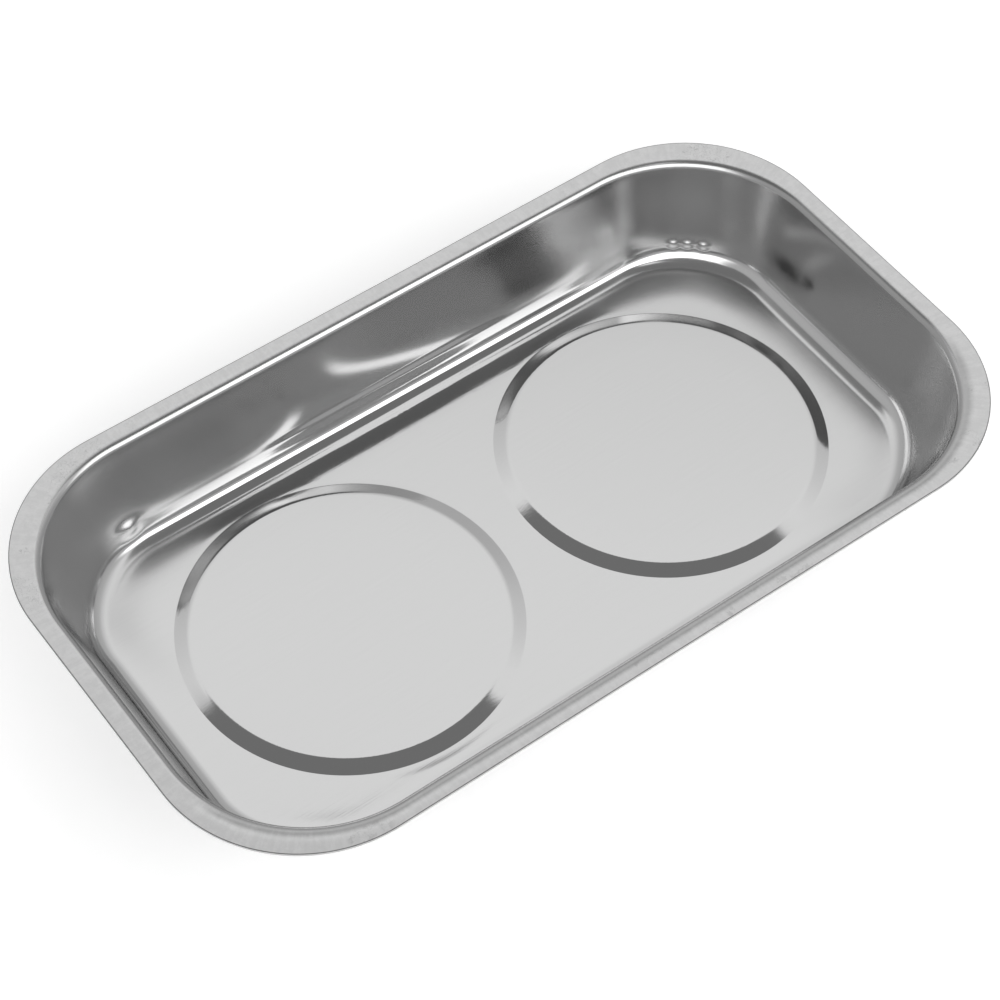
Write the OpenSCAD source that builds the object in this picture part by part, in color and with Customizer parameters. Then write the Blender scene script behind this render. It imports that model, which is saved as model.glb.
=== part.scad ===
// Magnetic parts tray: one drawn stainless pan on two bonded magnet feet.
// Millimetres, +Z up. The origin is on the ground, under the middle of the tray.

/* [Tray] */
// Length over the rim
tray_length = 240; // [230:1:280]
// Width over the rim
tray_width = 137; // [130:1:180]
// Depth of the inside, from the top of the rim to the floor
tray_depth = 27.6; // [20:0.1:38]
// Thickness of the sheet
sheet = 0.8; // [0.5:0.1:1.2]
// Corner radius of the trimmed edge of the rim
rim_corner = 39; // [30:0.5:42]
// Flat width of the rim along the straight sides
rim_flat = 4; // [2.5:0.1:8]
// Radius of the bend from the rim down into the wall, on the inside of the tray
rim_bend = 2.4; // [1.6:0.1:4]
// Corner radius of the mouth, where the flat of the rim ends
mouth_corner = 40; // [32:0.5:44]
// Lean of the walls from upright, in degrees
wall_draft = 18.4; // [10:0.1:22]
// Radius between the walls and the floor, on the inside of the tray
floor_fillet = 5.8; // [3:0.1:9]

/* [Raised pads] */
// Distance between the centres of the two pads
pad_pitch = 98.6; // [94:0.1:106]
// Diameter of a pad at the foot of its step
pad_foot_d = 88.3; // [86:0.1:92]
// Diameter of the flat top of a pad
pad_top_d = 79.4; // [76:0.1:82]
// Height of a pad above the floor
pad_rise = 1; // [0.6:0.1:1.6]
// Radius at the foot of the step, on the inside of the tray
pad_foot_radius = 0.8; // [0.4:0.1:2.5]
// Radius at the top of the step, on the inside of the tray
pad_crown_radius = 5; // [1.5:0.1:6]

/* [Magnets] */
// Thickness of a magnet ring
magnet_h = 8; // [5:0.5:12]
// Bore of a magnet ring
magnet_bore_d = 32; // [20:1:44]
// Bevel on the edges of a magnet ring
magnet_bevel = 0.6; // [0.2:0.1:1]
// Thickness of a steel pole plate
plate_t = 1.2; // [0.8:0.1:2.5]
// Centre hole of a pole plate
plate_hole_d = 10; // [6:1:16]
// Bevel on the edges of a pole plate
plate_bevel = 0.25; // [0.1:0.05:0.4]
// Thickness of the bonding layer under a pad
bond_t = 0.8; // [0.2:0.1:1.2]
// Hole in the middle of the bonding layer
bond_hole_d = 18; // [10:1:30]

/* [Boots] */
// Thickness of a boot under its magnet
boot_base = 2.6; // [2.2:0.1:4]
// Thickness of a boot's side
boot_wall = 2.75; // [2:0.05:4]
// How far a boot's lip laps over the edge of its magnet
boot_lip = 3; // [2:0.1:5]
// Rounding of a boot's bottom edge
boot_edge = 1.6; // [0.8:0.1:2]
// Rounding of a boot's top edge
boot_shoulder = 0.8; // [0.4:0.1:1.2]
// Depth of the grip grooves under a boot
groove_depth = 1; // [0.5:0.1:1.4]
// Width of a grip groove
groove_w = 2.2; // [1.5:0.1:3]
// Distance from one grip groove to the next
groove_pitch = 5.5; // [4:0.1:6.5]
// Number of grip grooves
groove_count = 5; // [2:1:5]

/* [Fits] */
// Space between a boot and the step of its pad
boot_gap = 0.7; // [0.5:0.1:2]
// Space round a magnet and a pole plate inside a boot
magnet_gap = 0.25; // [0.1:0.05:0.5]

/* [Hidden] */
$fn = 144;

// Cuts run past the faces they go through by this much
overrun = 1;
// Neighbouring stretches of sheet lap by this much where they join
lap = 0.6;
// A sector's cutting triangle reaches this many radii from its centre
sector_reach_share = 2;
quarter_turn = 90;
half_turn = 180;

// Heights, from the ground up
magnet_z = boot_base;
plate_z = magnet_z + magnet_h;
bond_z = plate_z + plate_t;
pad_under_z = bond_z + bond_t;
pad_top_z = pad_under_z + sheet;
floor_z = pad_top_z - pad_rise;
rim_z = floor_z + tray_depth;

// Wall section, in distances out from the centre of a corner's round
corner_r = mouth_corner + rim_flat;
corner_x = tray_length / 2 - corner_r;
corner_y = tray_width / 2 - corner_r;
bend_turn = quarter_turn - wall_draft;
rim_tangent = rim_bend * tan(bend_turn / 2);
floor_tangent = floor_fillet * tan(bend_turn / 2);
wall_foot_r = mouth_corner - rim_tangent - tray_depth * tan(wall_draft);
floor_r = wall_foot_r - floor_tangent;
bend_centre = [mouth_corner, rim_z - rim_bend];
fillet_centre = [floor_r, floor_z + floor_fillet];
// Unit vector from the inside of the wall into the metal
wall_out = [cos(wall_draft), -sin(wall_draft)];
wall_top = bend_centre - rim_bend * wall_out;
wall_foot = fillet_centre + floor_fillet * wall_out;

// Step of a pad: a straight slope between a hollow round at its foot and a full round at its top.
// The slope is steep enough to climb the rise, and both rounds shrink alike where they would meet.
pad_foot_r = pad_foot_d / 2;
pad_top_r = pad_top_d / 2;
step_w = pad_foot_r - pad_top_r;
step_rounds = pad_foot_radius + pad_crown_radius;
widest_rounds = (step_w * step_w / pad_rise + pad_rise) / 2;
round_share = min(1, widest_rounds / step_rounds);
foot_round = round_share * pad_foot_radius;
crown_round = max(sheet, round_share * pad_crown_radius);
step_slack = step_w * step_w - pad_rise * (2 * round_share * step_rounds - pad_rise);
step_turn = 2 * atan(pad_rise / (step_w + sign(step_w) * sqrt(max(0, step_slack))));
crown_centre = [pad_top_r, pad_top_z - crown_round];
foot_centre = [pad_foot_r, floor_z + foot_round];
// Unit vector out of the slope
step_out = heading(quarter_turn - step_turn);

// Magnet feet, inside the narrower end of the hollow under a pad
hollow_r = min(pad_top_r, pad_foot_r);
boot_r = hollow_r - boot_gap;
magnet_r = boot_r - boot_wall - magnet_gap;
plate_r = magnet_r - boot_lip;
lip_r = plate_r + magnet_gap;
groove_first_r = boot_r - boot_edge - groove_w;

steel_colour = [0.74, 0.74, 0.74];
bond_colour = [0.82, 0.79, 0.70];
plate_colour = [0.62, 0.64, 0.66];
ferrite_colour = [0.20, 0.20, 0.21];
rubber_colour = [0.09, 0.09, 0.09];

function heading(angle) = [cos(angle), sin(angle)];

// Band of sheet that bends round a centre, between two headings
module bent_sheet(centre, inner_r, from, to) {
    reach = (inner_r + sheet) * sector_reach_share;
    translate(centre)
        intersection() {
            difference() {
                circle(r = inner_r + sheet);
                circle(r = inner_r);
            }
            polygon([[0, 0], reach * heading(from), reach * heading(to)]);
        }
}

module rounded_plan(length, width, corner) {
    inset_x = length / 2 - corner;
    inset_y = width / 2 - corner;
    square([length, 2 * inset_y], center = true);
    square([2 * inset_x, width], center = true);
    for (x = [-inset_x, inset_x], y = [-inset_y, inset_y])
        translate([x, y])
            circle(r = corner);
}

// Section of the sheet from the centre of a corner's round out to the rim
module wall_section() {
    translate([0, floor_z - sheet])
        square([floor_r, sheet]);
    bent_sheet(fillet_centre, floor_fillet, -quarter_turn, -wall_draft);
    polygon([wall_foot, wall_foot + sheet * wall_out, wall_top + sheet * wall_out, wall_top]);
    bent_sheet(bend_centre, rim_bend - sheet, quarter_turn, half_turn - wall_draft);
    translate([mouth_corner, rim_z - sheet])
        square([lap, sheet]);
}

// A straight side whose section starts a given distance from the middle
module straight_side(inset, run, turn) {
    rotate(turn)
        translate([inset, 0, 0])
            rotate([quarter_turn, 0, 0])
                linear_extrude(height = run, center = true)
                    wall_section();
}

module round_corner(x, y, turn) {
    translate([x, y, 0])
        rotate(turn)
            rotate_extrude(angle = quarter_turn)
                wall_section();
}

module pan_shell() {
    for (turn = [0, half_turn]) {
        straight_side(corner_x, 2 * corner_y, turn);
        straight_side(corner_y, 2 * corner_x, turn + quarter_turn);
    }
    round_corner(corner_x, corner_y, 0);
    round_corner(-corner_x, corner_y, quarter_turn);
    round_corner(-corner_x, -corner_y, half_turn);
    round_corner(corner_x, -corner_y, half_turn + quarter_turn);
    translate([-corner_x, -corner_y, floor_z - sheet])
        cube([2 * corner_x, 2 * corner_y, sheet]);
}

// Flat of the rim: trimmed outside, and lapped on the bend inside
module rim_plate() {
    mouth = 2 * (rim_flat - lap / 2);
    translate([0, 0, rim_z - sheet])
        linear_extrude(height = sheet)
            difference() {
                rounded_plan(tray_length, tray_width, rim_corner);
                rounded_plan(tray_length - mouth, tray_width - mouth, mouth_corner + lap / 2);
            }
}

module raised_pad() {
    rotate_extrude() {
        translate([0, pad_under_z])
            square([pad_top_r, sheet]);
        bent_sheet(crown_centre, crown_round - sheet, quarter_turn - step_turn, quarter_turn);
        polygon([
            crown_centre + crown_round * step_out,
            foot_centre - foot_round * step_out,
            foot_centre - (foot_round + sheet) * step_out,
            crown_centre + (crown_round - sheet) * step_out
        ]);
        bent_sheet(foot_centre, foot_round, -quarter_turn - step_turn, -quarter_turn);
        translate([pad_foot_r, floor_z - sheet])
            square([lap, sheet]);
    }
}

module tray() {
    color(steel_colour) {
        difference() {
            pan_shell();
            for (x = [-pad_pitch / 2, pad_pitch / 2])
                translate([x, 0, floor_z - sheet - overrun])
                    cylinder(r = pad_foot_r + lap / 2, h = sheet + 2 * overrun);
        }
        for (x = [-pad_pitch / 2, pad_pitch / 2])
            translate([x, 0, 0])
                raised_pad();
        rim_plate();
    }
}

// Flat ring with bevelled edges, in section
module ring_section(inner_r, outer_r, height, bevel) {
    polygon([
        [inner_r + bevel, 0],
        [outer_r - bevel, 0],
        [outer_r, bevel],
        [outer_r, height - bevel],
        [outer_r - bevel, height],
        [inner_r + bevel, height],
        [inner_r, height - bevel],
        [inner_r, bevel]
    ]);
}

module bond_ring() {
    color(bond_colour)
        translate([0, 0, bond_z])
            difference() {
                cylinder(r = plate_r - plate_bevel, h = bond_t);
                translate([0, 0, -overrun])
                    cylinder(d = bond_hole_d, h = bond_t + 2 * overrun);
            }
}

module pole_plate() {
    color(plate_colour)
        translate([0, 0, plate_z])
            rotate_extrude()
                ring_section(plate_hole_d / 2, plate_r, plate_t, plate_bevel);
}

module magnet_ring() {
    color(ferrite_colour)
        translate([0, 0, magnet_z])
            rotate_extrude()
                ring_section(magnet_bore_d / 2, magnet_r, magnet_h, magnet_bevel);
}

// Outside of a boot in section, with its two rounded edges
module boot_outside() {
    difference() {
        square([boot_r, pad_under_z]);
        translate([boot_r - boot_edge, 0])
            difference() {
                translate([0, -overrun])
                    square([boot_edge + overrun, boot_edge + overrun]);
                translate([0, boot_edge])
                    circle(r = boot_edge);
            }
        translate([boot_r - boot_shoulder, pad_under_z - boot_shoulder])
            difference() {
                square([boot_shoulder + overrun, boot_shoulder + overrun]);
                circle(r = boot_shoulder);
            }
    }
}

module boot() {
    color(rubber_colour)
        rotate_extrude()
            difference() {
                boot_outside();
                translate([0, magnet_z])
                    square([magnet_r + magnet_gap, magnet_h]);
                translate([0, magnet_z])
                    square([lip_r, pad_under_z - magnet_z + overrun]);
                for (i = [0 : groove_count - 1])
                    translate([groove_first_r - i * groove_pitch - groove_w, -overrun])
                        square([groove_w, groove_depth + overrun]);
            }
}

module at_left() {
    translate([-pad_pitch / 2, 0, 0])
        children();
}

module at_right() {
    translate([pad_pitch / 2, 0, 0])
        children();
}

tray();
at_left() bond_ring();  // left_bond_ring
at_left() pole_plate();  // left_pole_plate
at_left() magnet_ring();  // left_magnet_ring
at_left() boot();  // left_boot
at_right() bond_ring();  // right_bond_ring
at_right() pole_plate();  // right_pole_plate
at_right() magnet_ring();  // right_magnet_ring
at_right() boot();  // right_boot
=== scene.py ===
import math
from collections import namedtuple

import bmesh
import bpy
import numpy as np
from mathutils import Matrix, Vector


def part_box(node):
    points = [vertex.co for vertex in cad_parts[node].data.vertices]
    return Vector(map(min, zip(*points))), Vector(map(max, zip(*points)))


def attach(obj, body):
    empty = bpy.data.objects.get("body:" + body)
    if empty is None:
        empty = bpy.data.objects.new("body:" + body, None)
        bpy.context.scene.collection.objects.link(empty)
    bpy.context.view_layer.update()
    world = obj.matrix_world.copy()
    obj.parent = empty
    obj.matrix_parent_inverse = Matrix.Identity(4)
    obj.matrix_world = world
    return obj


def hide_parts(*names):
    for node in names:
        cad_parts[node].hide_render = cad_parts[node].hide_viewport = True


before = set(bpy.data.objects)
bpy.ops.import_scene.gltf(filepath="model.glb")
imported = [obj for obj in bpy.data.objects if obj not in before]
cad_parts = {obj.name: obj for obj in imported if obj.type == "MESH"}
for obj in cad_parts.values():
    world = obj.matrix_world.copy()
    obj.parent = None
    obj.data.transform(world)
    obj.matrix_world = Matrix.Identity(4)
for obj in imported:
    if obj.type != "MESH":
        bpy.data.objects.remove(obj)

bl_info = {
    "name": "Magnetic Parts Tray",
    "version": (1, 0, 0),
    "blender": (4, 5, 0),
    "location": "3D View > Sidebar > Parts Tray",
    "description": "Dresses a drawn stainless tray and its two rubber-booted magnet feet",
    "category": "Add Mesh",
}

MM = 0.001
TINY = 1e-9
WELD = 1e-6
BODY = "root"
SIDES = {"left": -1, "right": 1}
RAYS = ("Is Camera Ray", "Is Glossy Ray", "Is Transmission Ray")

# Panels of light in the room, in degrees: a panel begins and ends between two pairs of heights
Panel = namedtuple("Panel", "azimuth half_width soft bottom top droop")
PANELS = {
    "back_panel": Panel(42, 75, 12, (28, 56), (61.5, 64), 8),
    "front_panel": Panel(259, 60, 11, (20.5, 25), (57, 60), 0),
    "left_panel": Panel(164, 36, 12, (20, 40), (52, 57), 0),
    "top_panel": Panel(278, 20, 6, (66, 69), (75, 79), 0),
}

# Heights in degrees over which the room pales from its foot, darkens to its ceiling and leaves its horizon
WALL_HEIGHTS = (5.0, 30.0)
CEILING_HEIGHTS = (40.0, 54.0)
HORIZON_HEIGHTS = (1.0, 4.0)

# Level of the walls' foot as a share of the walls, and sizes of the floor in metres and of the camera
LOW_WALLS = 0.85
FLOOR_WIDTH = 40.0
SENSOR_WIDTH = 36.0
NEAREST_SEEN = 0.01

# Rows of the pan's section, from the middle of a pad to the trimmed edge
PAD_ROWS = 5
CROWN_ROWS = 9
SLOPE_ROWS = 3
FOOT_ROWS = 7
FLOOR_ROWS = 20
FLOOR_CROWD = 1.5
FILLET_ROWS = 31
FILLET_CROWD = ((0, 0.27, 0.73, 1), (0, 0.39, 0.72, 1))
WALL_FOOT_ROWS = 14
WALL_FOOT_SHARE = 0.26
WALL_ROWS = 9
BEND_ROWS = 17
RIM_SHARES = np.array([0.1, 0.2, 0.3, 0.45, 0.6, 0.8, 1.0])
RIM_MARGIN = 2.5
# Shares of painted shade on the rows round the trimmed edge, from the top of the rim to its face
EDGE_SHADE_MARKS = np.array([1.0, 1.0, 1.0, 0.6, 0.3])

# Columns round half of the pan. A far corner has its own, from one share of its quarter to the next
SIDE_COLUMNS = 44
END_COLUMNS = 26
NEAR_CORNER_COLUMNS = 56
FAR_CORNER_COLUMNS = ((0, 0.4, 18), (0.4, 0.69, 30), (0.69, 1, 20))
MIDLINE_COLUMNS = 47

# Finishes of the pieces inside the feet, with the mottling in cells per metre
Worked = namedtuple("Worked", "finish colour slot dark_share metallic roughness cells")
INNER_PIECES = {
    "magnet_ring": Worked("ground_ferrite", "ferrite", "ferrite", 0.6, 0.0, 0.45, 900.0),
    "pole_plate": Worked("zinc_plate", "plate", "plate_steel", 0.8, 1.0, 0.3, 300.0),
    "bond_ring": Worked("cured_bond", "bond", "adhesive", 0.85, 0.0, 0.4, 150.0),
}
FINE_RELIEF = 0.1 * MM

# Where a bulge and two dark spots are on the walls, in metres
DENT = np.array([-80.1, 55.5, 18.6]) * MM
DARK_SPOTS = np.array([[108.4, 20.5, 22.2], [108.7, 12, 23.3]]) * MM
DARK_SPOT_SIZES = np.array([[3, 5.5, 2.4], [3, 1.7, 1.7]]) * MM

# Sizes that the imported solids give
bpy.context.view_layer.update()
TRAY_LOW, TRAY_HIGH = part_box("tray")
BOOT_LOW, BOOT_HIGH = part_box("right_boot")


def length(name, description, default):
    """A length in metres, shown in the scene's units."""
    return bpy.props.FloatProperty(
        name=name, description=description, default=default, unit="LENGTH", precision=5
    )


def angle(name, description, degrees):
    """An angle, written in degrees and kept in radians."""
    return bpy.props.FloatProperty(
        name=name, description=description, default=math.radians(degrees), subtype="ANGLE"
    )


def strength(name, description, default):
    """A level of light, where one is white."""
    return bpy.props.FloatProperty(name=name, description=description, default=default, min=0.0)


def colour(name, description, default):
    """A linear colour."""
    return bpy.props.FloatVectorProperty(
        name=name, description=description, default=default, subtype="COLOR", size=3, min=0.0, max=1.0
    )


class TraySizes(bpy.types.PropertyGroup):
    """Sizes of the drawn pan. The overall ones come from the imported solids."""

    span: length("Length", "Length over the rim", TRAY_HIGH.x - TRAY_LOW.x)
    width: length("Width", "Width over the rim", TRAY_HIGH.y - TRAY_LOW.y)
    rim_height: length("Rim height", "Top of the rim above the ground", TRAY_HIGH.z)
    under_height: length("Underside", "Underside of the floor above the ground", TRAY_LOW.z)
    sheet: length("Sheet", "Thickness of the sheet", 0.8 * MM)
    rim_corner: length("Rim corner", "Corner radius of the trimmed edge", 39 * MM)
    rim_flat: length("Rim flat", "Flat width of the rim along the sides", 4 * MM)
    rim_bend: length("Rim bend", "Radius of the bend from the rim into the wall", 2.4 * MM)
    rim_edge: length("Rim edge", "Rounding of the trimmed edge", 0.12 * MM)
    mouth_corner: length("Mouth corner", "Corner radius where the flat of the rim ends", 40 * MM)
    wall_draft: angle("Wall draft", "Lean of the walls from upright", 18.4)
    floor_fillet: length("Floor fillet", "Radius between the walls and the floor", 5.8 * MM)
    pad_pitch: length("Pad pitch", "Distance between the pads", BOOT_LOW.x + BOOT_HIGH.x)
    pad_foot: length("Pad foot", "Diameter of a pad at the foot of its step", 88.3 * MM)
    pad_top: length("Pad top", "Diameter of the flat top of a pad", 79.4 * MM)
    pad_rise: length("Pad rise", "Height of a pad above the floor", 1 * MM)
    pad_foot_radius: length("Foot radius", "Radius at the foot of a pad's step", 0.8 * MM)
    pad_crown_radius: length("Crown radius", "Radius at the top of a pad's step", 5 * MM)
    gutter: length("Gutter", "Depth of the hollow beside the walls", 0.17 * MM)
    corner_fill: length("Corner fill", "Fullness of the fillets in the corners", 0.15 * MM)
    corner_shift: length("Corner shift", "How far the foot of the walls stands in at the corners", 1.2 * MM)
    corner_lift: length("Corner lift", "How far the floor rises into the back corners", 0.35 * MM)
    pucker: length("Pucker", "Height of the puckers at the foot of a corner", 0.42 * MM)
    dent: length("Dent", "Height of the bulge pressed into the back left corner", 1.1 * MM)
    foot_tuck: length("Foot tuck", "How far the foot of a long wall is tucked in over the fillet", 0.65 * MM)
    ripple: length("Ripple", "Height of the ripples on the walls", 0.007 * MM)
    rim_sag: length("Rim sag", "How far the front of the rim sinks to its bend", 0.5 * MM)
    edge_bow: length("Edge bow", "How far the long edges bow in", 0.2 * MM)


class BootSizes(bpy.types.PropertyGroup):
    """Sizes of a rubber boot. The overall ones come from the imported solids."""

    across: length("Diameter", "Outer diameter", BOOT_HIGH.x - BOOT_LOW.x)
    height: length("Height", "Height of the boot", BOOT_HIGH.z - BOOT_LOW.z)
    base: length("Base", "Thickness under the magnet", 2.6 * MM)
    wall: length("Wall", "Thickness of the side", 2.75 * MM)
    lip: length("Lip", "How far the lip laps over the magnet", 3 * MM)
    lip_height: length("Lip height", "Height of the lip above the magnet", 2 * MM)
    edge: length("Sole edge", "Rounding of the bottom edge", 1.6 * MM)
    shoulder: length("Shoulder", "Rounding of the top edge", 0.8 * MM)
    groove_width: length("Groove width", "Width of a grip groove", 2.2 * MM)
    groove_depth: length("Groove depth", "Depth of a grip groove", 1 * MM)
    groove_pitch: length("Groove pitch", "Distance from one groove to the next", 5.5 * MM)
    groove_round: length("Groove rounding", "Rounding of the edges of a groove", 0.3 * MM)
    groove_count: bpy.props.IntProperty(
        name="Grooves", description="Number of grip grooves", default=5, min=1
    )


class Finishes(bpy.types.PropertyGroup):
    """Colours of the finishes."""

    steel: colour("Steel", "Drawn stainless sheet", (0.60, 0.60, 0.60))
    # Steel shade is the colour of the painted shade on the walls, darkest at the ends and in the corners
    steel_shade: colour("Steel shade", "Duller steel of the walls", (0.44, 0.44, 0.44))
    rim_steel: colour("Rim steel", "Matt stainless on the rim", (0.78, 0.78, 0.78))
    # Rim shade is also the colour of the painted shade along the inside of the front rim
    rim_shade: colour("Rim shade", "Worn and scratched places on the rim", (0.5, 0.5, 0.5))
    # The dark line along the trimmed edge is painted shade
    painted_edge_shade: colour("Burr", "Burnished line along the trimmed edge", (0.14, 0.14, 0.14))
    rubber: colour("Rubber", "Moulded rubber of the boots", (0.022, 0.022, 0.023))
    rubber_bloom: colour("Rubber bloom", "Paler bloom on the rubber", (0.06, 0.06, 0.06))
    ferrite: colour("Ferrite", "Ground ferrite of the magnets", (0.05, 0.05, 0.055))
    plate: colour("Plate", "Zinc on the pole plates", (0.52, 0.53, 0.55))
    bond: colour("Bond", "Cured adhesive", (0.55, 0.49, 0.36))


class Studio(bpy.types.PropertyGroup):
    """Camera, lights and floor."""

    azimuth: angle("Azimuth", "Turn of the camera round the tray", -36.18)
    elevation: angle("Elevation", "Height of the camera above the horizon", 53.08)
    distance: length("Distance", "From the point that it looks at to the camera", 680.95 * MM)
    focal: bpy.props.FloatProperty(
        name="Lens", description="Focal length on a 36 mm sensor", default=99.69, unit="CAMERA"
    )
    aim_x: length("Aim X", "Where the camera looks, from the middle of the rim", -8.535 * MM)
    aim_y: length("Aim Y", "Where the camera looks, from the middle of the rim", -7.535 * MM)
    ceiling: strength("Ceiling", "Level of the dark ceiling", 0.24)
    walls: strength("Walls", "Level of the room at eye height", 0.62)
    back_panel: strength("Back panel", "Level of the wide panel behind the tray", 1.08)
    front_panel: strength("Front panel", "Level of the wide panel in front of the tray", 2.8)
    left_panel: strength("Left panel", "Level of the dim panel to the left of the tray", 0.62)
    top_panel: strength("Top panel", "Level of the small panel over the front of the tray", 1.4)
    floor: colour("Floor", "Pale floor", (0.8, 0.8, 0.8))
    floor_glow: strength("Floor glow", "What brings the open floor up to white", 0.36)


# Rows of a section: distance, share of the column's reach, height, normal and mark of painted shade on the
# trimmed edge
Rows = namedtuple("Rows", "fixed share height out up mark")


def rows(points, normals, share=0.0, mark=0.0):
    """Rows of a section: points (distance, height) with unit normals, a share of the column's reach
    and a mark."""
    count = len(points)
    return Rows(
        points[:, 0],
        np.broadcast_to(share, count),
        points[:, 1],
        normals[:, 0],
        normals[:, 1],
        np.broadcast_to(mark, count),
    )


def join_rows(*parts):
    """The parts' rows, one after another."""
    return Rows(*(np.concatenate(field) for field in zip(*parts)))


def under_side(top, sheet):
    """Every other row, a sheet's thickness behind its normal, in the opposite order."""
    moved = top._replace(
        fixed=top.fixed - sheet * top.out, height=top.height - sheet * top.up, out=-top.out, up=-top.up
    )
    keep = np.arange(len(top.fixed)) % 2 == 0
    keep[-1] = True
    return Rows(*(field[keep][::-1] for field in moved))


def arc(centre, radius, start, stop, count, crowd=((0, 1), (0, 1))):
    """Points on a circle between two headings, centre plus radius times heading, and those headings.

    The two lists of crowd say which part of the points lies within which part of the turn."""
    turn = start + (stop - start) * np.interp(np.linspace(0, 1, count), *crowd)
    heading = np.stack([np.cos(turn), np.sin(turn)], axis=1)
    return np.asarray(centre) + radius * heading, heading


def line(start, stop, count):
    """Points evenly spread from start to stop, without the two ends."""
    part = np.linspace(0, 1, count + 2)[1:-1, None]
    return (1 - part) * np.asarray(start) + part * np.asarray(stop)


def mesh_object(name, points, faces, fields=None):
    """A smooth mesh object from points and faces, with doubles merged and point fields kept as
    attributes."""
    mesh = bpy.data.meshes.new(name)
    mesh.from_pydata(points.tolist(), [], faces.tolist())
    for field, values in (fields or {}).items():
        kind, slot = ("FLOAT_VECTOR", "vector") if values.ndim > 1 else ("FLOAT", "value")
        kept = mesh.attributes.new(field, kind, "POINT")
        kept.data.foreach_set(slot, values.astype(np.float32).ravel())
    work = bmesh.new()
    work.from_mesh(mesh)
    bmesh.ops.remove_doubles(work, verts=work.verts, dist=WELD)
    work.to_mesh(mesh)
    work.free()
    mesh.shade_smooth()
    made = bpy.data.objects.new(name, mesh)
    bpy.context.scene.collection.objects.link(made)
    return made


def quads(index):
    """Faces between neighbouring rows and columns of a grid of point numbers. The last column meets the
    first, and a number below nought is a gap."""
    beside = np.roll(index, -1, axis=1)
    faces = np.stack([index[:-1], index[1:], beside[1:], beside[:-1]], axis=-1).reshape(-1, 4)
    return faces[(faces >= 0).all(axis=1)]


# Pan


def pan_measures(s):
    """Heights and distances that follow from the pan's sizes, by the names used for them."""
    bend_turn = math.pi / 2 - s.wall_draft
    tangent = math.tan(bend_turn / 2)
    floor_height = s.under_height + s.sheet
    depth = s.rim_height - floor_height
    floor_edge = s.mouth_corner - (s.rim_bend + s.floor_fillet) * tangent - depth * math.tan(s.wall_draft)
    step_width = (s.pad_foot - s.pad_top) / 2
    rounds = s.pad_foot_radius + s.pad_crown_radius
    slack = step_width**2 - s.pad_rise * (2 * rounds - s.pad_rise)
    return {
        "floor_height": floor_height,
        "floor_edge": floor_edge,
        "step_turn": 2 * math.atan(s.pad_rise / (step_width + math.sqrt(slack))),
        "corner": np.array([s.span, s.width]) / 2 - s.rim_flat - s.mouth_corner,
    }


def floor_rows(s, m):
    """Rows from the middle of a pad over its step and across the floor to the wall.

    A full round at the pad's edge turns down into a straight slope, and a hollow round turns back to
    the floor, where the rows crowd towards the wall by a power."""
    upright = math.pi / 2
    top_height = m["floor_height"] + s.pad_rise
    middle = np.linspace([0, top_height], [s.pad_top / 2, top_height], PAD_ROWS)[:-1]
    crown, crown_heading = arc(
        [s.pad_top / 2, top_height - s.pad_crown_radius],
        s.pad_crown_radius,
        upright,
        upright - m["step_turn"],
        CROWN_ROWS,
    )
    foot, foot_heading = arc(
        [s.pad_foot / 2, m["floor_height"] + s.pad_foot_radius],
        s.pad_foot_radius,
        -upright - m["step_turn"],
        -upright,
        FOOT_ROWS,
    )
    slope = line(crown[-1], foot[0], SLOPE_ROWS)
    reach = 1 - (1 - np.linspace(0, 1, FLOOR_ROWS)[1:]) ** FLOOR_CROWD
    ground = np.full((len(reach), 2), [s.pad_foot / 2, m["floor_height"]])
    level = np.array([0.0, 1.0])
    return join_rows(
        rows(middle, np.broadcast_to(level, middle.shape)),
        rows(crown, crown_heading),
        rows(slope, np.broadcast_to(crown_heading[-1], slope.shape)),
        rows(foot, -foot_heading),
        rows(ground, np.broadcast_to(level, ground.shape), reach),
    )


def wall_rows(s, m):
    """Rows from the floor's edge through the fillet, the wall and the bend to the flat of the rim.

    The fillet and the bend are arcs, and the wall is the straight line between them, with more rows at
    its foot. The flat's last row lies a few edge roundings inside the trimmed edge."""
    upright = math.pi / 2
    fillet, fillet_heading = arc(
        [m["floor_edge"], m["floor_height"] + s.floor_fillet],
        s.floor_fillet,
        -upright,
        -s.wall_draft,
        FILLET_ROWS,
        FILLET_CROWD,
    )
    bend, bend_heading = arc(
        [s.mouth_corner, s.rim_height - s.rim_bend],
        s.rim_bend,
        math.pi - s.wall_draft,
        upright,
        BEND_ROWS,
    )
    foot = fillet[-1] + WALL_FOOT_SHARE * (bend[0] - fillet[-1])
    low, high = line(fillet[-1], foot, WALL_FOOT_ROWS), line(foot, bend[0], WALL_ROWS)
    wall = np.concatenate([low, foot[None], high])
    inward = np.broadcast_to(bend_heading[0], wall.shape)
    inset = np.where(RIM_SHARES < 1, s.rim_edge * RIM_SHARES, RIM_MARGIN * s.rim_edge)
    flat = np.stack([s.mouth_corner - inset, np.full(RIM_SHARES.shape, s.rim_height)], axis=1)
    return join_rows(
        rows(fillet[1:], -fillet_heading[1:]),
        rows(wall, inward),
        rows(bend, bend_heading),
        rows(flat, np.broadcast_to([0.0, 1.0], flat.shape), RIM_SHARES),
    )


def edge_rows(s):
    """Rows round the trimmed edge, two quarter turns from the top of the rim to its underside, marked
    where shade is painted along the edge."""
    upright = math.pi / 2
    inset = s.mouth_corner - s.rim_edge
    top, bottom = s.rim_height - s.rim_edge, s.rim_height - s.sheet + s.rim_edge
    upper, upper_heading = arc([inset, top], s.rim_edge, upright, 0, len(EDGE_SHADE_MARKS))
    lower, lower_heading = arc([inset, bottom], s.rim_edge, 0, -upright, len(EDGE_SHADE_MARKS))
    return join_rows(
        rows(upper, upper_heading, 1.0, EDGE_SHADE_MARKS),
        rows(lower, lower_heading, 1.0, EDGE_SHADE_MARKS[::-1]),
    )


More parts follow.
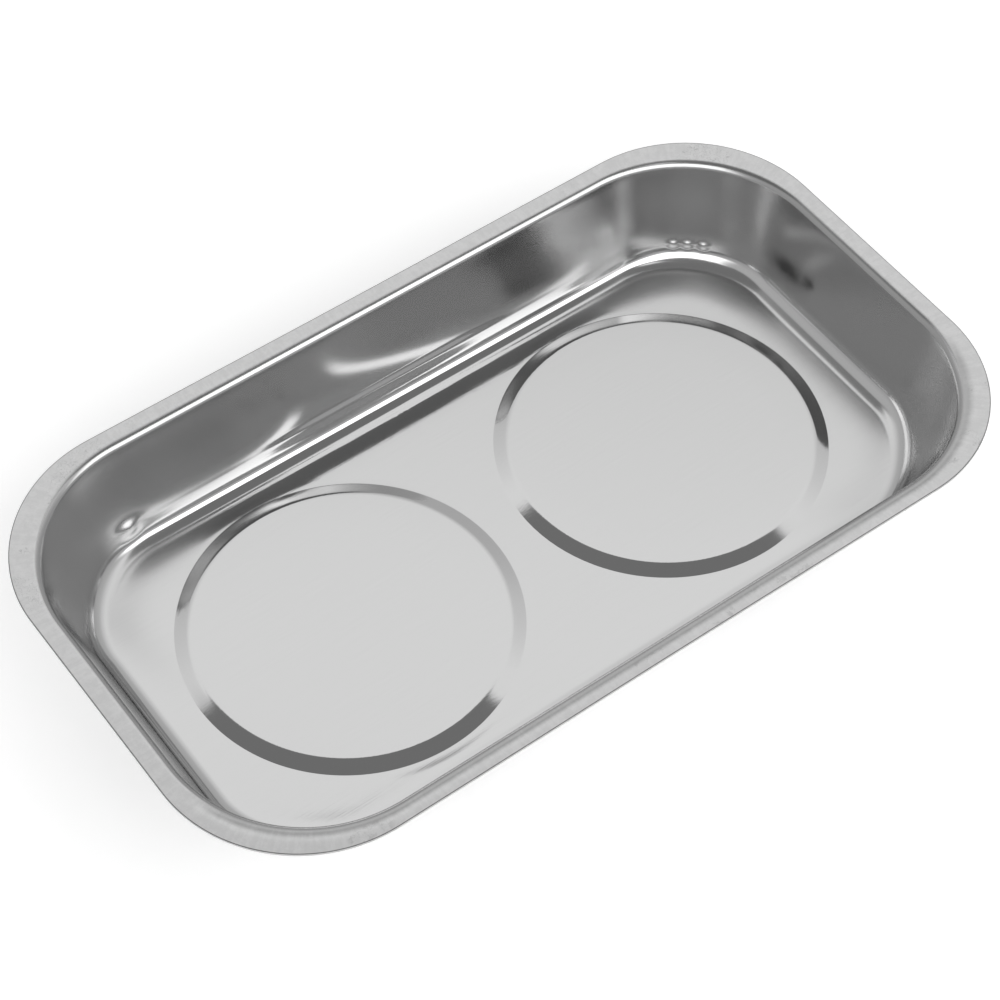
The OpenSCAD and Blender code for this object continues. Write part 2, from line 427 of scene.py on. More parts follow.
def half_outline(m):
    """Anchors and headings round half of the pan, from the front of its midline to the back.

    A wall stands at its anchor plus a distance along its heading. Anchors run along the straight sides,
    and stay at a corner's centre while the heading turns a quarter."""
    x, y = m["corner"]
    quarter = math.pi / 2
    stretches = [
        ([0, -y], [x, -y], -quarter, -quarter, SIDE_COLUMNS),
        ([x, -y], [x, -y], -quarter, 0, NEAR_CORNER_COLUMNS),
        ([x, -y], [x, y], 0, 0, END_COLUMNS),
        *(([x, y], [x, y], low * quarter, high * quarter, n) for low, high, n in FAR_CORNER_COLUMNS),
        ([x, y], [0, y], quarter, quarter, SIDE_COLUMNS),
    ]
    anchors = [np.linspace(a, b, n, endpoint=False) for a, b, _, _, n in stretches]
    turns = [np.linspace(a, b, n, endpoint=False) for _, _, a, b, n in stretches]
    turn = np.concatenate([*turns, [quarter]])
    return np.concatenate([*anchors, [[0, y]]]), np.stack([np.cos(turn), np.sin(turn)], axis=1)


def rim_reach(s, heading):
    """Width of the rim's flat along each heading: on to the straight edge, or to the round of the
    trimmed corner."""
    across = np.abs(heading)
    reach = s.mouth_corner + s.rim_flat
    inset = reach - s.rim_corner
    straight = reach / across.max(axis=1)
    lean = inset * across.sum(axis=1)
    rounded = lean + np.sqrt(np.clip(lean**2 - 2 * inset**2 + s.rim_corner**2, 0, None))
    past = straight * across.min(axis=1) > inset
    return np.where(past, rounded, straight) - s.mouth_corner


def bell(value, middle, spread):
    """A bell of height one round a middle."""
    return np.exp(-(((value - middle) / spread) ** 2))


def ease(value, low, high):
    """Rises smoothly from nought at low to one at high."""
    part = np.clip((value - low) / (high - low), 0, 1)
    return part * part * (3 - 2 * part)


Place = namedtuple("Place", "x y z past distance inside above turn fillet_turn in_corner long_side")


def find_places(s, m, points):
    """Where each point lies on the pan.

    Past is how far it is beyond the corners' centres, and distance is the length of that. Inside is
    counted from the floor's edge and above from the floor. The turns, in degrees, go round a corner
    from an end to a long side, and round the floor's fillet. The last two are one in the middle of a
    corner and one along a long side."""
    x, y, z = np.moveaxis(points, -1, 0)
    past = np.maximum(np.abs(points[..., :2]) - m["corner"], 0)
    distance = np.linalg.norm(past, axis=-1)
    inside = m["floor_edge"] - distance
    above = z - m["floor_height"]
    turn = np.degrees(np.arctan2(past[..., 1], past[..., 0]))
    fillet_turn = np.degrees(np.arctan2(-inside, s.floor_fillet - above))
    in_corner = np.sin(np.radians(2 * turn)) ** 2
    side_starts, side_full = 20, 80
    long_side = ease(turn, side_starts, side_full)
    return Place(x, y, z, past, distance, inside, above, turn, fillet_turn, in_corner, long_side)


def gutter_depth(s, p):
    """Depth of the gutter beside the walls: a bell round its own line, deepest halfway along the long
    sides, that closes at the fillet and at the pads."""
    middle, spread, lip, pad_clear = 1.7 * MM, 4 * MM, 0.5 * MM, 3 * MM
    at_ends, at_sides, halfway, halfway_spread = 0.08, 0.42, 0.5, 36 * MM
    from_pad = np.hypot(np.abs(p.x) - s.pad_pitch / 2, p.y) - s.pad_foot / 2
    dip = bell(np.maximum(p.inside, middle), middle, spread) * ease(p.inside, -lip, middle)
    share = at_ends + p.long_side * (at_sides + halfway * bell(p.x, 0, halfway_spread))
    return s.gutter * share * dip * ease(from_pad, 0, pad_clear) * (p.above < s.floor_fillet)


def corner_marks(s, p):
    """How far the sheet stands off its plain shape in the corners.

    The fillets are fuller, by a bell over their turn. Puckers, bells round the far right corner, stand
    at the top of its fillet. The floor rises into the far corners by the square of the nearness to its
    edge, and that dies away up the fillet."""
    full_turn, full_spread = 38, 22
    pucker_turns, pucker_spread = (41, 49.5, 57), 2.3
    pucker_top, pucker_below, pucker_above = 83, 14, 6
    lift_reach, lift_turn, lift_band = 14 * MM, 50, 10 * MM
    marks = s.corner_fill * p.in_corner * bell(p.fillet_turn, full_turn, full_spread)
    spots = sum(bell(p.turn, place, pucker_spread) for place in pucker_turns) * (p.x > 0) * (p.y > 0)
    fall = np.where(p.fillet_turn < pucker_top, pucker_below, pucker_above)
    marks += s.pucker * spots * bell(p.fillet_turn, pucker_top, fall) * (p.inside < 0)
    nearness = np.clip(1 - p.inside / lift_reach, 0, 1)
    on_floor = ease(p.y, -lift_band, lift_band) * nearness**2
    on_fillet = (p.y > 0) * (1 - ease(p.fillet_turn, 0, lift_turn))
    return marks + s.corner_lift * p.in_corner * np.where(p.inside > 0, on_floor, on_fillet)


def wall_marks(s, p):
    """How far the sheet stands in from the plain walls.

    The foot of a long wall is tucked in over the fillet: halfway along it as a ledge that ends low, and
    towards its ends fading higher up. One bulge, a bell each way, stands in the far left corner. Two
    sines, of the length and of the width, each swung by the height, ripple a band of the walls."""
    tuck_start, tuck_turn, tuck_power, tuck_top = 29, 41, 1.5, (7 * MM, 24 * MM)
    ledge_share, ledge_ends, ledge_top = 0.74, (20 * MM, 42 * MM), (5.2 * MM, 6.8 * MM)
    dent_spread, dent_below, dent_above = 2.8 * MM, 3.4 * MM, 1.2 * MM
    swing, along, along_swing, over, over_swing = 2, 5.1 * MM, 4 * MM, 4.3 * MM, 5 * MM
    ripple_height, ripple_spread, ripple_top = 13 * MM, 6 * MM, (18 * MM, 24 * MM)

    part = np.clip((p.fillet_turn - tuck_start) / tuck_turn, 0, 1)
    tucked = 1 - (1 - part**tuck_power) ** 2
    ledge = ledge_share * (1 - ease(np.abs(p.x), *ledge_ends))
    tucked *= ledge * (1 - ease(p.above, *ledge_top)) + (1 - ledge) * (1 - ease(p.above, *tuck_top))
    marks = s.foot_tuck * p.long_side * (1 - p.in_corner) * tucked

    beside = np.hypot(p.x - DENT[0], p.y - DENT[1])
    fall = np.where(p.z < DENT[2], dent_below, dent_above)
    marks += s.dent * bell(beside, 0, dent_spread) * bell(p.z, DENT[2], fall)

    wave = np.sin(p.x / along + swing * np.sin(p.z / along_swing))
    wave += np.sin(p.y / over + swing * np.cos(p.z / over_swing))
    band = bell(p.above, ripple_height, ripple_spread) * (1 - ease(p.above, *ripple_top))
    return marks + s.ripple * wave * band * (p.inside < 0)


def press_marks(s, m, points):
    """How far the press has moved each point of the sheet from the plain shape.

    The marks of the corners and walls push along the fillet's own normal: by its sine inwards and by
    its cosine up. The foot of the corner walls stands in, fading across the floor and up the wall. The
    gutter sinks. The front of the rim sags to its bend by a square, and the long trimmed edges bow in
    by a bell along them."""
    floor_fade, wall_fade = (8 * MM, 0), (5 * MM, 24 * MM)
    sag_share, sag_height, sag_front = 0.6, (8 * MM, 25 * MM), (-30 * MM, -45 * MM)
    bow_spread = 45 * MM
    p = find_places(s, m, points)
    fill = corner_marks(s, p) + wall_marks(s, p)
    swing = np.radians(np.clip(p.fillet_turn, 0, 90))
    outward = p.past / np.maximum(p.distance, TINY)[..., None] * np.sign(points[..., :2])
    near_wall = np.where(p.inside > 0, ease(p.inside, *floor_fade), 1 - ease(p.above, *wall_fade))
    shift = s.corner_shift * p.in_corner * near_wall

    across = np.clip((p.distance - s.mouth_corner) / (sag_share * s.rim_flat), 0, 1)
    sag = s.rim_sag * (1 - across) ** 2 * ease(p.above, *sag_height) * ease(p.y, *sag_front)
    edge = ease(p.distance, s.mouth_corner, s.mouth_corner + s.rim_flat) * (p.past[..., 0] == 0)
    moved = np.zeros(points.shape)
    moved[..., :2] = -(fill * np.sin(swing) + shift)[..., None] * outward
    moved[..., 1] -= s.edge_bow * edge * bell(p.x, 0, bow_spread) * np.sign(p.y)
    moved[..., 2] = fill * np.cos(swing) - gutter_depth(s, p) - sag
    return moved


def half_pan(s, side):
    """Points, faces and fields of half of the pan, on one side of its midline.

    Columns go round the half floor, rows from the pad's middle out to the rim and back along the
    underside. Rows on the floor are circles round the pad that ease into the floor's outline. Rows of
    the wall follow the outline."""
    m = pan_measures(s)
    anchor, heading = half_outline(m)
    edge = anchor + m["floor_edge"] * heading
    sweep = np.cos(np.linspace(0, math.pi, MIDLINE_COLUMNS)[1:-1, None])
    middle = (edge[-1] + edge[0]) / 2 + sweep * (edge[-1] - edge[0]) / 2
    border = np.concatenate([edge, middle])
    pad = np.array([s.pad_pitch / 2, 0])
    far = np.linalg.norm(border - pad, axis=1)
    spoke = (border - pad) / far[:, None]

    inner, outer = floor_rows(s, m), wall_rows(s, m)
    band = join_rows(outer, edge_rows(s), under_side(outer, s.sheet))
    beyond = far - s.pad_foot / 2
    floor_part = grid_points(inner, pad, spoke, beyond, len(border))
    wall_part = grid_points(band, anchor, heading, rim_reach(s, heading), len(border))
    under_floor = grid_points(under_side(inner, s.sheet), pad, spoke, beyond, len(border))
    points = np.concatenate([floor_part, wall_part, under_floor])
    points[..., 0] *= side
    points = points + press_marks(s, m, points)

    known = ~np.isnan(points[..., 0])
    index = np.where(known, np.cumsum(known).reshape(known.shape) - 1, -1)
    faces = quads(index)[:, ::side]
    band_at = slice(len(inner.fixed), len(inner.fixed) + len(band.fixed))
    mouth = (anchor + s.mouth_corner * heading) * [side, 1]
    fields = pan_fields(s, m, band, band_at, mouth, points)
    return points[known], faces, {name: values[known] for name, values in fields.items()}


def pan_fields(s, m, band, band_at, crossing, points):
    """Fields for the finish.

    Matt is one on the rim's flat and falls to nought round its bend, and edge shade, a painted shade,
    follows the trimmed edge. Wall is how far the sheet was drawn up: most in the corners and least
    halfway along a long wall; it also sets the painted shade on the walls. Drawn adds the floor beside
    the ends, the dent and the rim's bend to it. Dark spot is a sum of bells. Mouth is where a column
    crosses the mouth, with a part of the way over the rim as its height, so that marks run across the rim."""
    flat_lean, bend_lean, bend_spread, over_share = (10, 26), 40, 24, 0.12
    wall_foot, end_wall, mid_wall = (1.5 * MM, 7 * MM), 0.6, 0.25
    toward_ends, more_at_ends = (35 * MM, 70 * MM), 0.45
    dull_turn, dull_ends, dull_from = (50, 90), (50 * MM, 80 * MM), (-100 * MM, -60 * MM)
    dull_inside, dull_spread = 4 * MM, 8 * MM
    dent_share, dent_spread = 0.6, 5 * MM

    p = find_places(s, m, points)
    matt, burnish = np.zeros(p.x.shape), np.zeros(p.x.shape)
    lean = np.degrees(np.arctan2(np.abs(band.out), band.up))
    up_side = np.arange(len(band.fixed)) <= np.flatnonzero(band.mark)[-1]
    on_top = (band.height > s.rim_height - s.rim_bend) & up_side
    flat = np.where(band.share > 0, 1.0, 1 - ease(lean, *flat_lean) * (band.up > 0))
    matt[band_at] = (flat * (on_top | (band.mark > 0)))[:, None]
    # The edge's rows carry the painted shade of the trimmed edge
    burnish[band_at] = band.mark[:, None]

    on_wall = ease(p.above, *wall_foot)
    long_wall = mid_wall + more_at_ends * ease(np.abs(p.x), *toward_ends)
    straight = end_wall + (long_wall - end_wall) * ease(p.turn, 0, 90)
    # This share also darkens the walls' colour: painted shade, least halfway along a long wall
    wall = on_wall * (straight + (1 - straight) * np.sin(np.radians(2 * p.turn)))
    dull = np.maximum(1 - ease(p.turn, *dull_turn), ease(np.abs(p.x), *dull_ends))
    dull *= ease(p.x + p.y, *dull_from) * bell(p.distance, m["floor_edge"] - dull_inside, dull_spread)
    drawn = wall + (1 - on_wall) * dull
    drawn += dent_share * bell(np.linalg.norm(points - DENT, axis=-1), 0, dent_spread)
    bent = bell(lean, bend_lean, bend_spread) * on_top * (band.share == 0)
    drawn[band_at] = np.maximum(drawn[band_at], bent[:, None])

    mouth = np.zeros(points.shape)
    mouth[band_at, : len(crossing), :2] = crossing
    mouth[band_at, : len(crossing), 2] = over_share * band.share[:, None] * s.rim_flat
    # Two dark spots on the right end wall, each a bell in every direction
    apart = (points[..., None, :] - DARK_SPOTS) / DARK_SPOT_SIZES
    smudge = np.exp(-(apart**2).sum(axis=-1)).sum(axis=-1)
    return {
        "matt": matt,
        "burnish": burnish,
        "drawn": drawn,
        "wall": wall,
        "smudge": smudge,
        "mouth": mouth,
    }


def grid_points(section, anchor, heading, reach, columns):
    """Points of a section's rows on every column: anchor plus distance along the heading, at the row's
    height. Columns past the last heading stay unknown."""
    distance = section.fixed[:, None] + section.share[:, None] * reach
    points = np.full((len(section.fixed), columns, 3), np.nan)
    points[:, : len(heading), :2] = anchor + distance[..., None] * heading
    points[:, : len(heading), 2] = section.height[:, None]
    return points


def pan_mesh(s):
    """The whole pan: two halves that share the points of the midline."""
    (points, faces, fields), (more, others, also) = (half_pan(s, side) for side in SIDES.values())
    return mesh_object(
        "stainless_pan",
        np.concatenate([points, more]),
        np.concatenate([faces, others + len(points)]),
        {name: np.concatenate([fields[name], also[name]]) for name in fields},
    )


# Boots


def rounded_section(corners, steps=6):
    """Points along a closed outline of corners (distance, height, rounding), where each round is an arc
    between its two sides: a blend of the arc's two ends by the sines of the turns to them."""
    places = np.array([corner[:2] for corner in corners], float)
    radius = np.array([corner[2] for corner in corners], float)
    before = places - np.roll(places, 1, axis=0)
    after = np.roll(places, -1, axis=0) - places
    before /= np.linalg.norm(before, axis=1)[:, None]
    after /= np.linalg.norm(after, axis=1)[:, None]
    turn = np.arccos(np.clip((before * after).sum(axis=1), -1, 1))
    cut = radius * np.tan(turn / 2)
    part = np.linspace(0, 1, steps)
    centre_way = after - before
    centre_way /= np.maximum(np.linalg.norm(centre_way, axis=1), TINY)[:, None]
    centre = places + (radius / np.cos(turn / 2))[:, None] * centre_way
    start = places - cut[:, None] * before - centre
    stop = places + cut[:, None] * after - centre
    weight = np.maximum(np.sin(turn), TINY)[:, None]
    first = np.sin((1 - part) * turn[:, None]) / weight
    second = np.sin(part * turn[:, None]) / weight
    curve = centre[:, None] + first[..., None] * start[:, None] + second[..., None] * stop[:, None]
    sharp = radius == 0
    curve[sharp] = places[sharp, None]
    keep = np.ones(curve.shape[:2], bool)
    keep[sharp, 1:] = False
    return curve[keep]


def boot_section(s):
    """Corners of a boot's section, from the middle of its sole round the outside and back inside to the
    middle."""
    outer = s.across / 2
    cavity = outer - s.wall
    lip = cavity - s.lip
    first = outer - s.edge
    grooves = []
    for number in reversed(range(s.groove_count)):
        far = first - s.groove_width - number * s.groove_pitch
        near = far - s.groove_width
        grooves += [
            (near, 0, s.groove_round),
            (near, s.groove_depth, s.groove_round),
            (far, s.groove_depth, s.groove_round),
            (far, 0, s.groove_round),
        ]
    ceiling = s.height - s.lip_height
    return [(0, 0, 0)] + grooves + [
        (outer, 0, s.edge),
        (outer, s.height, s.shoulder),
        (lip, s.height, s.groove_round),
        (lip, ceiling, s.groove_round),
        (cavity, ceiling, s.groove_round),
        (cavity, s.base, s.groove_round),
        (0, s.base, 0),
    ]


def boot_mesh(name, s, centre_x, columns=160):
    """A boot: its section turned about its own axis, with both ends closed on the axis."""
    section = rounded_section(boot_section(s))
    turn = np.linspace(0, 2 * math.pi, columns, endpoint=False)
    points = np.stack(
        [
            centre_x + section[:, :1] * np.cos(turn),
            section[:, :1] * np.sin(turn),
            np.broadcast_to(section[:, 1:], (len(section), columns)),
        ],
        axis=-1,
    )
    index = np.arange(len(section) * columns).reshape(len(section), columns)
    faces = quads(index)[:, ::-1]
    return mesh_object(name, points.reshape(-1, 3), faces)


# Finishes


class Field:
    """A shader socket that takes part in sums: an expression on fields adds its Math nodes."""

    def __init__(self, tree, socket):
        self.tree = tree
        self.socket = socket

    def node(self, kind, settings=None, sockets=None, output=0):
        """A new node of that kind: its settings first, then the values or fields of its sockets."""
        made = self.tree.nodes.new(kind)
        for name, value in (settings or {}).items():
            setattr(made, name, value)
        for name, value in (sockets or {}).items():
            socket = made.inputs[name]
            if isinstance(value, Field):
                self.tree.links.new(value.socket, socket)
            else:
                socket.default_value = value
        return Field(self.tree, made.outputs[output]) if len(made.outputs) else made

    def sum(self, operation, first, second):
        """One Math node."""
        return self.node("ShaderNodeMath", {"operation": operation}, {0: first, 1: second})

    def __add__(self, other):
        return self.sum("ADD", self, other)

    def __sub__(self, other):
        return self.sum("SUBTRACT", self, other)

    def __rsub__(self, other):
        return self.sum("SUBTRACT", other, self)

    def __mul__(self, other):
        return self.sum("MULTIPLY", self, other)

    __radd__ = __add__
    __rmul__ = __mul__


def new_material(name):
    """An empty node material, with a field on its object's coordinates."""
    material = bpy.data.materials.new(name)
    material.use_nodes = True
    tree = material.node_tree
    tree.nodes.clear()
    place = tree.nodes.new("ShaderNodeTexCoord")
    return material, Field(tree, place.outputs["Object"])


def finish_material(place, sockets):
    """A Principled shader with these sockets, on the material's output."""
    shader = place.node("ShaderNodeBsdfPrincipled", None, sockets)
    place.node("ShaderNodeOutputMaterial", None, {"Surface": shader})


def noise(place, scale, detail=2.0, roughness=0.5, stretch=(1.0, 1.0, 1.0)):
    """Noise from nought to one, in cells per metre, stretched along the axes."""
    spread = place.node("ShaderNodeMapping", {"vector_type": "POINT"}, {"Vector": place, "Scale": stretch})
    return place.node(
        "ShaderNodeTexNoise",
        None,
        {"Vector": spread, "Scale": scale, "Detail": detail, "Roughness": roughness},
        "Fac",
    )


def blend(share, first, second):
    """A colour between two, by a share. Each of the two is a field or a linear colour."""
    ends = [end if isinstance(end, Field) else (*end, 1.0) for end in (first, second)]
    return share.node("ShaderNodeMix", {"data_type": "RGBA"}, {0: share, 6: ends[0], 7: ends[1]}, 2)


def rise(value, low, high):
    """Rises smoothly from nought at low to one at high."""
    return value.node(
        "ShaderNodeMapRange",
        {"interpolation_type": "SMOOTHSTEP"},
        {"Value": value, "From Min": low, "From Max": high},
    )


def part_of(vector, axis):
    """One axis of a vector field."""
    return vector.node("ShaderNodeSeparateXYZ", None, {"Vector": vector}, axis)


def steel_material(colours):
    """Bright drawn stainless: mirror-like on the floor, duller where it was drawn up the walls, and matt
    on the rim, which is mottled, has painted shade along the inside of its front and is scuffed at its
    front edge. Painted shade darkens the walls, least halfway along the long walls, two dark spots mark
    the right end wall, and a dark line of painted shade follows the trimmed edge."""
    grain_cells, worn_cloud, worn_streak = (70.0, 2600.0, 2600.0), 0.65, 0.35
    thread_line, thread_width, thread_patch, corner_draw = 0.5, 0.025, (0.56, 0.62), (0.5, 0.95)
    scuff_edge, scuff_patch, scuff_cloud = (-62 * MM, -64 * MM), (0.5, 0.6), (0.52, 0.6)
    bend_shade_width, bend_shade_front, worn_level = 0.2 * MM, (-30 * MM, -45 * MM), (0.62, 0.4)
    even, bend_shade_share, worn_share, thread_share, scuff_share = 0.14, 0.7, 0.26, 0.6, 0.5
    grain_shade, painted_wall_shade = 0.12, 2.4
    spot_share, spot_cloud, spot_level = 1.3, 0.3, (0.3, 0.6)
    mirror, grain_rough, drawn_rough, matt_rough, worn_rough = 0.05, 0.03, 0.16, 0.3, 0.12
    matt_relief, grain_relief, grain_draw = 0.02, 0.006, 0.2

    material, place = new_material("drawn_stainless")
    matt, drawn, wall, smudge, burnish = (
        place.node("ShaderNodeAttribute", {"attribute_name": name}, None, "Fac")
        for name in ("matt", "drawn", "wall", "smudge", "burnish")
    )
    mouth = place.node("ShaderNodeAttribute", {"attribute_name": "mouth"}, None, "Vector")
    grain = noise(place, 1.0, detail=3.0, roughness=0.6, stretch=grain_cells)
    cloud = noise(place, 380.0, detail=6.0, roughness=0.75)
    streak = noise(mouth, 900.0, detail=3.0, roughness=0.6)
    thread = noise(place, 700.0, detail=1.0)
    patch = noise(place, 90.0)

    across = part_of(place, "Y")
    worn = worn_cloud * cloud + worn_streak * streak
    thin = rise(thread.sum("ABSOLUTE", thread - thread_line, 0.0), thread_width, 0.0)
    squiggle = thin * rise(patch, *thread_patch) * rise(drawn, *corner_draw)
    scuff = rise(across, *scuff_edge) * rise(patch, *scuff_patch) * rise(cloud, *scuff_cloud)
    # Painted shade along the inside of the front rim, where it turns down into its bend
    painted_bend_shade = rise(part_of(mouth, "Z"), bend_shade_width, 0.0) * rise(across, *bend_shade_front)
    rim_marks_and_shade = even + bend_shade_share * painted_bend_shade + worn_share * rise(worn, *worn_level)
    rim_marks_and_shade = rim_marks_and_shade + thread_share * squiggle + scuff_share * scuff
    # Share of the dark colour: wear, scratches and painted shade on the rim; grain and painted shade on the
    # walls
    shade = matt * rim_marks_and_shade + (1 - matt) * (grain_shade * grain + painted_wall_shade * wall)
    bright = blend(matt, colours.steel, colours.rim_steel)
    dark = blend(matt, colours.steel_shade, colours.rim_shade)
    # Painted shade along the trimmed edge and the two dark spots blend the colour towards a dark one
    darkened = burnish + spot_share * smudge * rise(patch + spot_cloud * cloud, *spot_level)
    tint = blend(darkened, blend(shade, bright, dark), colours.painted_edge_shade)

    inside = mirror + grain_rough * grain + drawn_rough * drawn
    roughness = inside + matt * (matt_rough + worn_rough * worn - inside)
    inside_relief = grain_relief * (1 - matt) * grain * rise(drawn, grain_draw, 0.0)
    relief = matt_relief * matt * worn + inside_relief
    bump = place.node("ShaderNodeBump", None, {"Strength": 1.0, "Distance": MM, "Height": relief})
    sockets = {"Base Color": tint, "Metallic": 1.0, "Roughness": roughness, "Normal": bump}
    finish_material(place, sockets)
    return material


def rubber_material(colours):
    """Black moulded rubber: satin, with a fine tooled grain and a paler bloom."""
    bloom_share, satin, bloom_rough, grain_relief = 0.35, 0.5, 0.2, 0.25
    material, place = new_material("boot_rubber")
    grain = noise(place, 2600.0, detail=3.0, roughness=0.6)
    bloom = noise(place, 90.0, detail=4.0, roughness=0.6)
    tint = blend(bloom * bloom_share, colours.rubber, colours.rubber_bloom)
    relief = {"Strength": grain_relief, "Distance": FINE_RELIEF, "Height": grain}
    bump = place.node("ShaderNodeBump", None, relief)
    finish_material(place, {"Base Color": tint, "Roughness": satin + bloom_rough * bloom, "Normal": bump})
    return material


def solid_material(worked, base):
    """A plain worked surface with fine mottling: ferrite, zinc or cured adhesive."""
    mottle_rough, mottle_relief = 0.15, 0.2
    material, place = new_material(worked.finish)
    mottle = noise(place, worked.cells, detail=4.0, roughness=0.6)
    dark = tuple(value * worked.dark_share for value in base)
    roughness = worked.roughness + mottle_rough * mottle
    relief = {"Strength": mottle_relief, "Distance": FINE_RELIEF, "Height": mottle}
    bump = place.node("ShaderNodeBump", None, relief)
    tint = blend(mottle, dark, base)
    sockets = {"Base Color": tint, "Metallic": worked.metallic, "Roughness": roughness, "Normal": bump}
    finish_material(place, sockets)
    return material


def dress(piece, material):
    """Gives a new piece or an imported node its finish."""
    piece.data.materials.clear()
    piece.data.materials.append(material)


# Operators


class PARTSTRAY_OT_pan(bpy.types.Operator):
    """Makes the drawn stainless pan"""

    bl_idname = "partstray.pan"
    bl_label = "Stainless Pan"

    def execute(self, context):
        pan = pan_mesh(context.scene.tray_sizes)
        dress(pan, steel_material(context.scene.tray_finishes))
        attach(pan, BODY)
        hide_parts("tray")
        return {"FINISHED"}


class PARTSTRAY_OT_boots(bpy.types.Operator):
    """Makes the two rubber boots"""

    bl_idname = "partstray.boots"
    bl_label = "Rubber Boots"

    def execute(self, context):
        rubber = rubber_material(context.scene.tray_finishes)
        from_middle = context.scene.tray_sizes.pad_pitch / 2
        for side, sign in SIDES.items():
            boot = boot_mesh(f"{side}_rubber_boot", context.scene.boot_sizes, sign * from_middle)
            dress(boot, rubber)
            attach(boot, BODY)
            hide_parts(f"{side}_boot")
        return {"FINISHED"}


class PARTSTRAY_OT_magnets(bpy.types.Operator):
    """Finishes the magnet rings, pole plates and bond rings inside the feet"""

    bl_idname = "partstray.magnets"
    bl_label = "Magnet Feet"

    def execute(self, context):
        finishes = context.scene.tray_finishes
        made = {
            piece: solid_material(worked, getattr(finishes, worked.colour))
            for piece, worked in INNER_PIECES.items()
        }
        for side in SIDES:
            for piece, worked in INNER_PIECES.items():
                dress(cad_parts[f"{side}_{piece}"], made[piece])
        return {"FINISHED"}


class PARTSTRAY_OT_stage(bpy.types.Operator):
    """Sets the floor, the lights and the camera"""

    bl_idname = "partstray.stage"
    bl_label = "Studio"

    def execute(self, context):
        studio = context.scene.tray_studio
        make_floor(studio)
        make_world(studio)
        make_camera(studio, context.scene.tray_sizes.rim_height)
        context.scene.view_settings.view_transform = "Standard"
        return {"FINISHED"}


def make_floor(studio):
    """A wide pale floor that shows white where nothing shades it, and is clear from below."""
    mesh = bpy.data.meshes.new("studio_floor")
    half = FLOOR_WIDTH / 2
    corners = [(-half, -half, 0), (half, -half, 0), (half, half, 0), (-half, half, 0)]
    mesh.from_pydata(corners, [], [(0, 1, 2, 3)])
    floor = bpy.data.objects.new("studio_floor", mesh)
    bpy.context.scene.collection.objects.link(floor)
    material, place = new_material("pale_floor")
    paint = place.node("ShaderNodeBsdfDiffuse", None, {"Color": (*studio.floor, 1.0)})
    glow = place.node("ShaderNodeEmission", None, {"Strength": studio.floor_glow})
    white = place.node("ShaderNodeAddShader", None, {0: paint, 1: glow})
    seen = place.node("ShaderNodeMixShader", None, {0: seen_rays(place), 1: paint, 2: white})
    clear = place.node("ShaderNodeBsdfTransparent")
    below = place.node("ShaderNodeNewGeometry", None, None, "Backfacing")
    either = place.node("ShaderNodeMixShader", None, {0: below, 1: seen, 2: clear})
    place.node("ShaderNodeOutputMaterial", None, {"Surface": either})
    mesh.materials.append(material)


def seen_rays(place):
    """One for the rays that show a background: from the camera, a reflection or through glass."""
    total = sum(place.node("ShaderNodeLightPath", None, None, name) for name in RAYS)
    return place.node("ShaderNodeClamp", None, {"Value": total})


def mix(level, other, part):
    """Goes from one level to the other by a part."""
    return level + part * (other - level)


def panel_part(panel, way, height):
    """How much of a panel a direction meets: one inside its width and heights, which droop to its sides."""
    turn = math.radians(panel.azimuth)
    middle = (math.cos(turn), math.sin(turn), 0.0)
    level = way.node("ShaderNodeVectorMath", {"operation": "MULTIPLY"}, {0: way, 1: (1.0, 1.0, 0.0)})
    level = way.node("ShaderNodeVectorMath", {"operation": "NORMALIZE"}, {0: level})
    along = way.node("ShaderNodeVectorMath", {"operation": "DOT_PRODUCT"}, {0: level, 1: middle}, "Value")
    outer, inner = panel.half_width + panel.soft, panel.half_width - panel.soft
    width = rise(along, math.cos(math.radians(outer)), math.cos(math.radians(inner)))
    top = rise(height + panel.droop * (1 - along), *panel.top)
    return width * rise(height, *panel.bottom) * (1 - top)


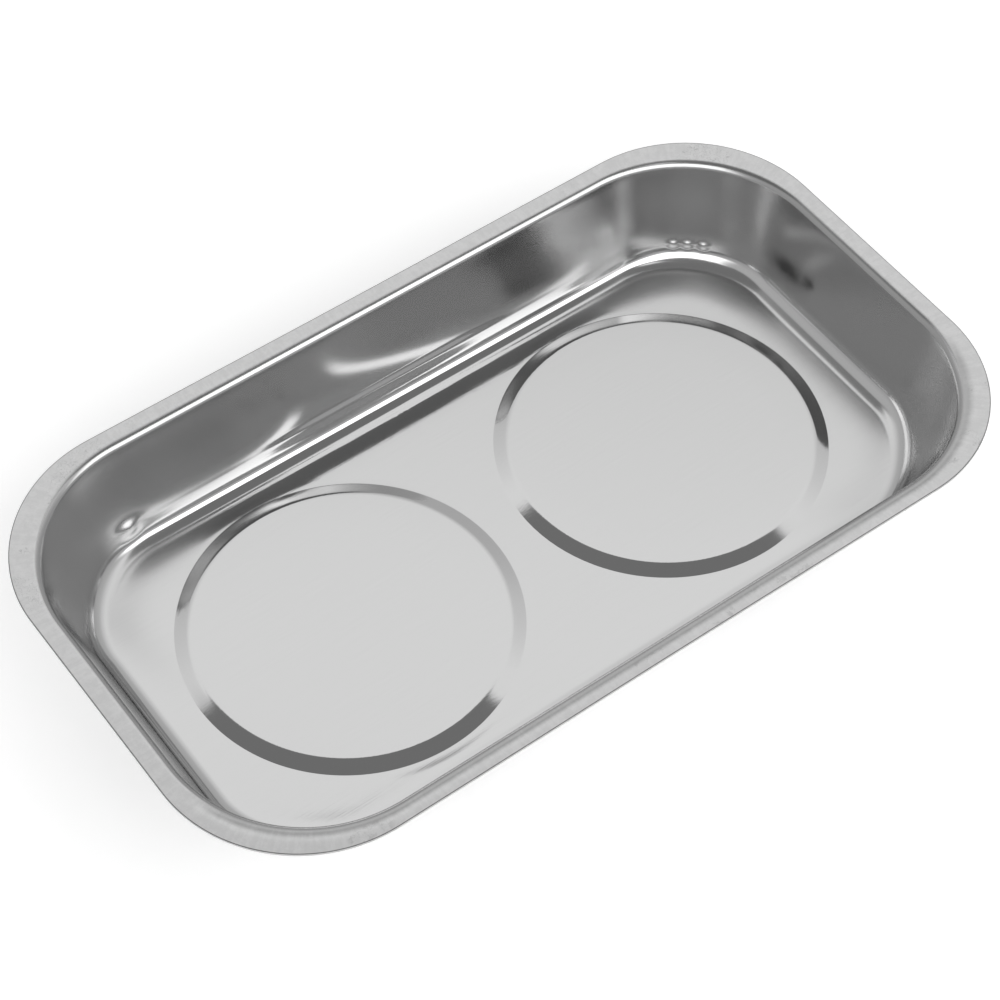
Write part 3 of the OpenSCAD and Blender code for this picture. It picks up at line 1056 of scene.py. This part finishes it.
def make_world(studio):
    """A plain room: pale walls, a dark ceiling and soft panels behind, in front of, beside and above the
    tray. What the camera sees of it is white, and so is its horizon in a reflection."""
    world = bpy.data.worlds.new("studio_room")
    world.use_nodes = True
    tree = world.node_tree
    tree.nodes.clear()
    way = Field(tree, tree.nodes.new("ShaderNodeTexCoord").outputs["Generated"])
    height = way.sum("ARCSINE", part_of(way, "Z"), 0.0) * math.degrees(1)
    level = mix(studio.walls * LOW_WALLS, studio.walls, rise(height, *WALL_HEIGHTS))
    level = mix(level, studio.ceiling, rise(height, *CEILING_HEIGHTS))
    for name, panel in PANELS.items():
        level = mix(level, getattr(studio, name), panel_part(panel, way, height))
    horizon = 1 - rise(height, *HORIZON_HEIGHTS)
    camera, glossy, through = (way.node("ShaderNodeLightPath", None, None, name) for name in RAYS)
    shown = way.node("ShaderNodeClamp", None, {"Value": camera + (glossy + through) * horizon})
    light = {"Color": (1.0, 1.0, 1.0, 1.0), "Strength": mix(level, 1.0, shown)}
    background = way.node("ShaderNodeBackground", None, light)
    way.node("ShaderNodeOutputWorld", None, {"Surface": background})
    bpy.context.scene.world = world


def make_camera(studio, rim_height):
    """The camera: its aim plus its distance along its own axis, turned by its azimuth and elevation."""
    camera = bpy.data.cameras.new("studio_camera")
    camera.lens = studio.focal
    camera.sensor_width = SENSOR_WIDTH
    camera.clip_start = NEAREST_SEEN
    made = bpy.data.objects.new("studio_camera", camera)
    made.rotation_euler = (math.pi / 2 - studio.elevation, 0, studio.azimuth)
    back = made.rotation_euler.to_matrix() @ Vector((0, 0, studio.distance))
    made.location = Vector((studio.aim_x, studio.aim_y, rim_height)) + back
    bpy.context.scene.collection.objects.link(made)
    bpy.context.scene.camera = made


class PARTSTRAY_PT_panel(bpy.types.Panel):
    """Lists the tray's operators"""

    bl_idname = "PARTSTRAY_PT_panel"
    bl_label = "Parts Tray"
    bl_space_type = "VIEW_3D"
    bl_region_type = "UI"
    bl_category = "Parts Tray"

    def draw(self, context):
        for operator in OPERATORS:
            self.layout.operator(operator.bl_idname)


OPERATORS = (PARTSTRAY_OT_pan, PARTSTRAY_OT_boots, PARTSTRAY_OT_magnets, PARTSTRAY_OT_stage)
GROUPS = {
    "tray_sizes": TraySizes,
    "boot_sizes": BootSizes,
    "tray_finishes": Finishes,
    "tray_studio": Studio,
}


def register():
    """Registers the property groups, operators and panel."""
    for group in GROUPS.values():
        bpy.utils.register_class(group)
    for name, group in GROUPS.items():
        setattr(bpy.types.Scene, name, bpy.props.PointerProperty(type=group))
    for made in (*OPERATORS, PARTSTRAY_PT_panel):
        bpy.utils.register_class(made)


def unregister():
    """Takes back what register did."""
    for made in (PARTSTRAY_PT_panel, *reversed(OPERATORS)):
        bpy.utils.unregister_class(made)
    for name in GROUPS:
        delattr(bpy.types.Scene, name)
    for group in reversed(GROUPS.values()):
        bpy.utils.unregister_class(group)


def main():
    """Makes every piece and the stage."""
    register()
    for operator in OPERATORS:
        group, name = operator.bl_idname.split(".")
        getattr(getattr(bpy.ops, group), name)()


if __name__ == "__main__":
    main()
